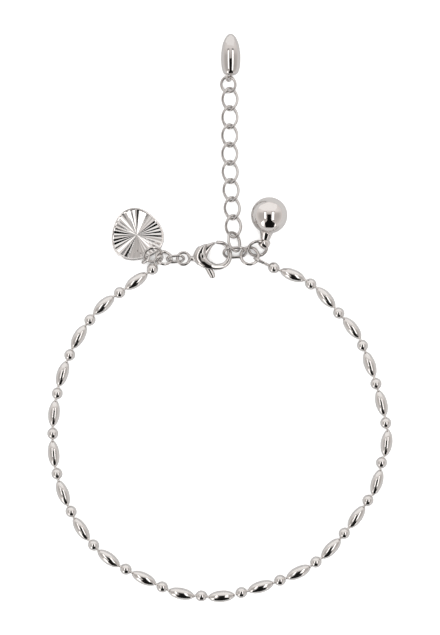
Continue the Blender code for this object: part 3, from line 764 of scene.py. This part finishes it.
def makeDrop():
    sizes = dropSizes
    spot, outward = chainPlaces()[0]
    chainEnd = spot + outward * linkSize()[0]
    ringSpot = np.array([*(chainEnd + atMm(sizes["ringShift"], sizes["ringReach"])), sizes["ringLevel"] * mm])
    ringRadius, eyeRadius = sizes["ring"] / 2 * mm, sizes["eye"] / 2 * mm
    ring = wireLoop(ringSpot, *sizes["ringTurn"], ringRadius, ringRadius, chainSizes["wire"] * mm,
                    seam=sizes["ringSeam"], arcSteps=36)
    settle(newObject("dropRing", *ring, silver["wire"]), "anklet", "drop_ring")

    eyeSpot = np.array([*(ringSpot[:2] + atMm(sizes["eyeShift"], sizes["eyeReach"])), sizes["eyeLevel"] * mm])
    foot = eyeSpot[:2] + atMm(sizes["footShift"], sizes["footReach"])
    sections = []
    for back, share in smoothLine(sizes["shape"], 5):
        level = sizes["thickness"] / 2 + sizes["rise"] * (sizes["rest"] - back)
        centre = np.array([foot[0], foot[1] + (1 - back) * sizes["length"] * mm, level * mm])
        sections.append(ringAcross(centre, (0, -1, 0), share * sizes["width"] * mm,
                                   share * sizes["thickness"] * mm, 56))
    eye = wireLoop(eyeSpot, *sizes["eyeTurn"], eyeRadius, eyeRadius, sizes["eyeWire"] * mm, arcSteps=24)
    settle(newObject("dropCharm", *joined([loft(sections), eye]), silver["drop"]), "anklet", "drop_charm")


makeDrop()
print("drop made")


# studio: a plain white floor, and a light tent that only polished surfaces see; its sizes are metres
tentSizes = dict(radius=0.5, lowHeight=0.25, lowTone=(0.69, 0.66, 0.64),
                 # cloth from the back to the front
                 tones=((0.0, (0.58, 0.55, 0.53)), (0.45, (0.46, 0.436, 0.42)), (0.60, (0.50, 0.474, 0.457)),
                        (0.71, (0.79, 0.755, 0.735)), (1.0, (0.85, 0.815, 0.795))),
                 # brightness, then corners as a polished ball shows them from above: right, up, from -1 to 1
                 panels={"backPanel": (0.92, ((-0.58, 0.42), (-0.30, 0.27), (0.30, 0.25), (0.42, 0.42),
                                              (0.40, 0.58), (0.0, 0.70), (-0.45, 0.56))),
                         "windowLeft": (1.7, ((-0.27, -0.18), (-0.16, -0.18), (-0.16, 0.18), (-0.27, 0.18))),
                         "windowRight": (1.7, ((0.14, -0.28), (0.27, -0.24), (0.27, 0.18), (0.14, 0.18))),
                         "lowLeft": (1.5, ((-0.46, -0.40), (-0.30, -0.27), (-0.25, -0.45), (-0.30, -0.62),
                                           (-0.42, -0.55))),
                         "lowRight": (1.5, ((0.20, -0.34), (0.36, -0.45), (0.38, -0.55), (0.30, -0.63),
                                            (0.20, -0.62))),
                         "cameraBody": (0.006, ((-0.11, 0.06), (0.11, 0.06), (0.11, -0.20), (0.18, -0.32),
                                                (0.34, -0.43), (0.29, -0.69), (-0.20, -0.69), (-0.26, -0.44),
                                                (-0.12, -0.30), (-0.11, -0.17)))},
                 # a thin dark frame shows round each window
                 frames={"frameLeft": "windowLeft", "frameRight": "windowRight"}, frameBrightness=0.17,
                 frameWidth=0.025, panelTint=(1.0, 0.98, 0.965),
                 # share of the radius where a panel hangs
                 reach=0.94, reaches={"cameraBody": 0.8, "frameLeft": 0.96, "frameRight": 0.96})


def glow(name, brightness):
    bench = Bench(name)
    return bench.finish(bench.node("ShaderNodeEmission", {}, {"Color": (*tentSizes["panelTint"], 1),
                                                              "Strength": brightness}))


def tentPoint(right, upward, radius):
    # point on the tent that a ball under the camera mirrors at this place of its disc
    normal = np.array([right, upward, math.sqrt(max(0.0, 1 - right ** 2 - upward ** 2))])
    return (2 * normal[2] * normal - up) * radius


def tentPanel(corners, reach):
    # a fine fan that follows the curved tent
    corners = np.array(corners)
    middle = corners.mean(0)
    outline = [a + (b - a) * t for a, b in zip(corners, np.roll(corners, -1, axis=0))
               for t in (0, 0.25, 0.5, 0.75)]
    steps = (0.25, 0.5, 0.75, 1.0)
    points = [tentPoint(*middle, reach)]
    points += [tentPoint(*(middle + (p - middle) * step), reach) for step in steps for p in outline]
    return np.array(points), fanFaces(len(steps), len(outline))


def makeTent():
    sizes = tentSizes
    radius = sizes["radius"]
    bench = Bench("tentCloth")
    place = bench.node("ShaderNodeTexCoord", output="Object")
    forward, height = (bench.node("ShaderNodeSeparateXYZ", {}, {0: place}, output=axis) for axis in (1, 2))
    tone = bench.node("ShaderNodeValToRGB", {"stops": sizes["tones"]},
                      {"Fac": forward * (0.5 / radius) + 0.5})
    low = bench.node("ShaderNodeMapRange", {}, {
        "Value": height, "From Min": 0.0, "From Max": sizes["lowHeight"], "To Min": 1.0, "To Max": 0.0})
    colour = bench.node("ShaderNodeMix", {"data_type": "RGBA"}, {0: low, 6: tone, 7: (*sizes["lowTone"], 1)},
                        output=2)
    cloth = bench.finish(bench.node("ShaderNodeEmission", {}, {"Color": colour, "Strength": 1.0}))
    # the cloth reaches a little below the floor
    profile = [(radius * math.cos(turn), radius * math.sin(turn))
               for turn in np.linspace(0.01, math.pi / 2 + 0.05, 24)]
    items = [newObject("tentCloth", *turned(np.zeros(3), up, profile, 64), cloth)]
    panels = dict(sizes["panels"])
    for name, window in sizes["frames"].items():
        corners = np.array(panels[window][1])
        panels[name] = (sizes["frameBrightness"],
                        corners + np.sign(corners - corners.mean(0)) * sizes["frameWidth"])
    for name, (brightness, corners) in panels.items():
        panel = tentPanel(corners, radius * sizes["reaches"].get(name, sizes["reach"]))
        items.append(newObject(name, *panel, glow(name + "Glow", brightness)))
    for item in items:
        item.visible_camera = item.visible_diffuse = item.visible_shadow = False
        item.visible_transmission = item.visible_volume_scatter = False


# the camera sees one floor and the mirrors another: level in millimetres, and shade
floorSizes = dict(size=3.0, grain=40.0, layers=(("floor", -0.02, 0.93), ("floorInMirrors", -0.04, 0.34)),
                  tints=((1.0, 0.995, 0.99), (0.99, 0.985, 0.98)))


def makeFloor():
    half = floorSizes["size"] / 2
    for name, level, shade in floorSizes["layers"]:
        bench = Bench(name + "Paint")
        place = bench.node("ShaderNodeTexCoord", output="Object")
        grain = bench.node("ShaderNodeTexNoise", {}, {
            "Vector": place, "Scale": floorSizes["grain"], "Detail": 4.0})
        light, dark = ((*(shade * part for part in tint), 1) for tint in floorSizes["tints"])
        colour = bench.node("ShaderNodeMix", {"data_type": "RGBA"}, {0: grain, 6: light, 7: dark}, output=2)
        paint = bench.finish(bench.node("ShaderNodeBsdfPrincipled", {}, {
            "Base Color": colour, "Roughness": 0.9, "Specular IOR Level": 0.0}))
        corners = [(x * half, y * half, level * mm) for x, y in ((-1, -1), (1, -1), (1, 1), (-1, 1))]
        item = newObject(name, corners, [(0, 1, 2, 3)], paint)
        item.visible_shadow = False
        if name == "floor":
            item.visible_glossy = item.visible_diffuse = False
        else:
            item.visible_camera = False


lightSizes = dict(air=(1.0, 0.997, 0.994), airStrength=1.75, panel=0.7, panelPower=1.6, place=(0.0, 0.1, 0.7))


def makeLight():
    world = bpy.data.worlds.new("studioAir")
    bpy.context.scene.world = world
    world.use_nodes = True
    air = world.node_tree.nodes["Background"]
    air.inputs["Color"].default_value = (*lightSizes["air"], 1)
    air.inputs["Strength"].default_value = lightSizes["airStrength"]
    world.cycles_visibility.glossy = False
    lamp = bpy.data.lights.new("topPanel", "AREA")
    lamp.shape = "SQUARE"
    lamp.size = lightSizes["panel"]
    lamp.energy = lightSizes["panelPower"]
    panel = bpy.data.objects.new("topPanel", lamp)
    bpy.context.scene.collection.objects.link(panel)
    panel.location = lightSizes["place"]
    panel.visible_camera = panel.visible_glossy = False
    bpy.context.scene.view_settings.view_transform = "Standard"
    bpy.context.scene.view_settings.look = "None"


# straight above, far enough for a nearly flat view: a pixel of the photo is scale millimetres
cameraSizes = dict(scale=0.225, frameHeight=635, distance=0.6, level=1.5, sensor=36.0, clip=(0.01, 10.0))


def makeCamera():
    sizes = cameraSizes
    lens = bpy.data.cameras.new("aboveCamera")
    lens.sensor_width = sizes["sensor"]
    lens.lens = sizes["sensor"] * sizes["distance"] / (sizes["scale"] * mm * sizes["frameHeight"])
    lens.clip_start, lens.clip_end = sizes["clip"]
    camera = bpy.data.objects.new("aboveCamera", lens)
    bpy.context.scene.collection.objects.link(camera)
    camera.location = (0.0, 0.0, sizes["distance"] + sizes["level"] * mm)
    bpy.context.scene.camera = camera


makeTent()
makeFloor()
makeLight()
makeCamera()
print("studio made")

bpy.context.view_layer.update()
